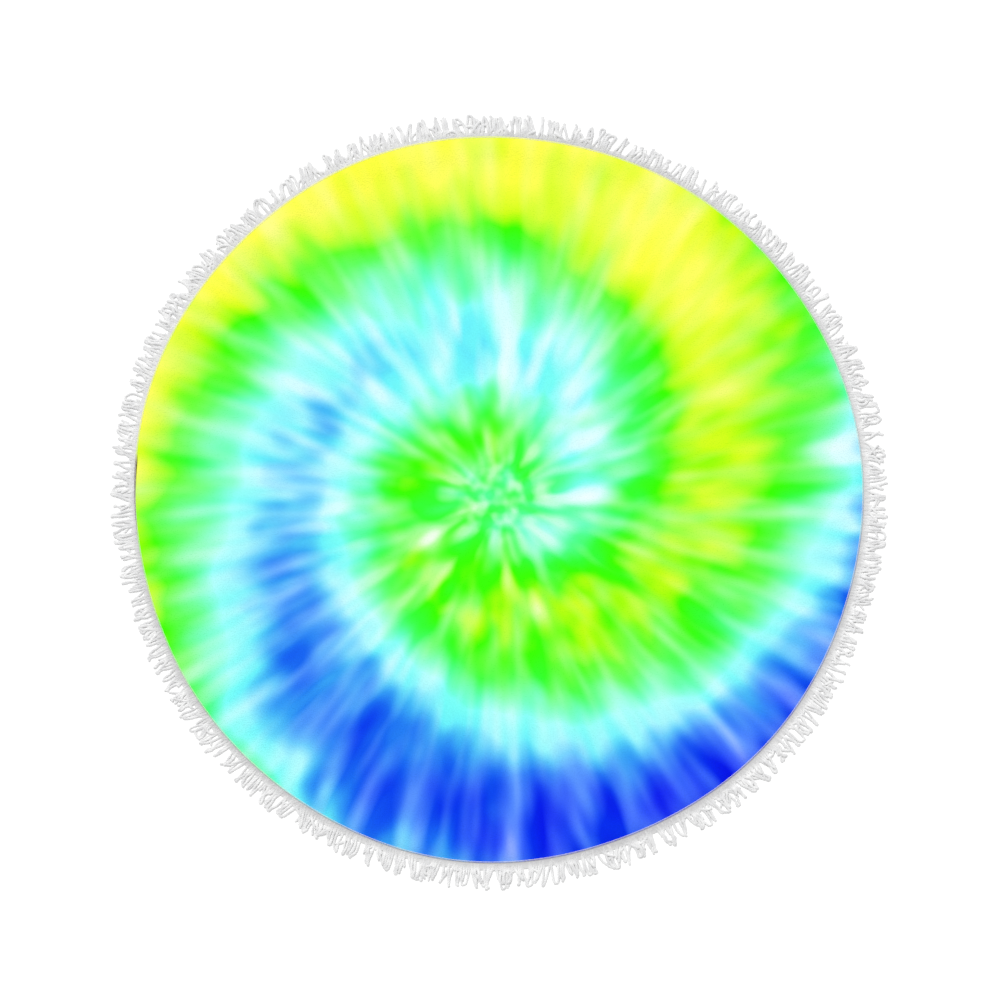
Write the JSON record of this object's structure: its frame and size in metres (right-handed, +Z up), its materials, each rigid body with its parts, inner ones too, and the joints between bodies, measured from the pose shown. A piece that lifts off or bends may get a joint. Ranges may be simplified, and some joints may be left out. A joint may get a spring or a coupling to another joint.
{
  "type": "round bath towel",
  "caption": "Round terry towel laid flat and face up, printed all over with a tie-dye spiral and edged with a looped cotton fringe.",
  "frame": {"origin": "centre of the fringe's ring, on the surface that the towel lies on", "axes": "+Z up out of the printed face, +Y towards the top of the print and +X towards its right"},
  "size_m": [1.4947, 1.4929, 0.004],
  "materials": {
    "printed_terry": "matt short-pile terry, dye-printed face in yellow, green, cyan and blue, white back",
    "fringe_cotton": "matt off-white cotton, twisted yarn loops on a woven tape"
  },
  "bodies": {
    "root": {"towel_cloth": "printed_terry", "fringe_trim": "fringe_cotton"}
  },
  "joints": []
}
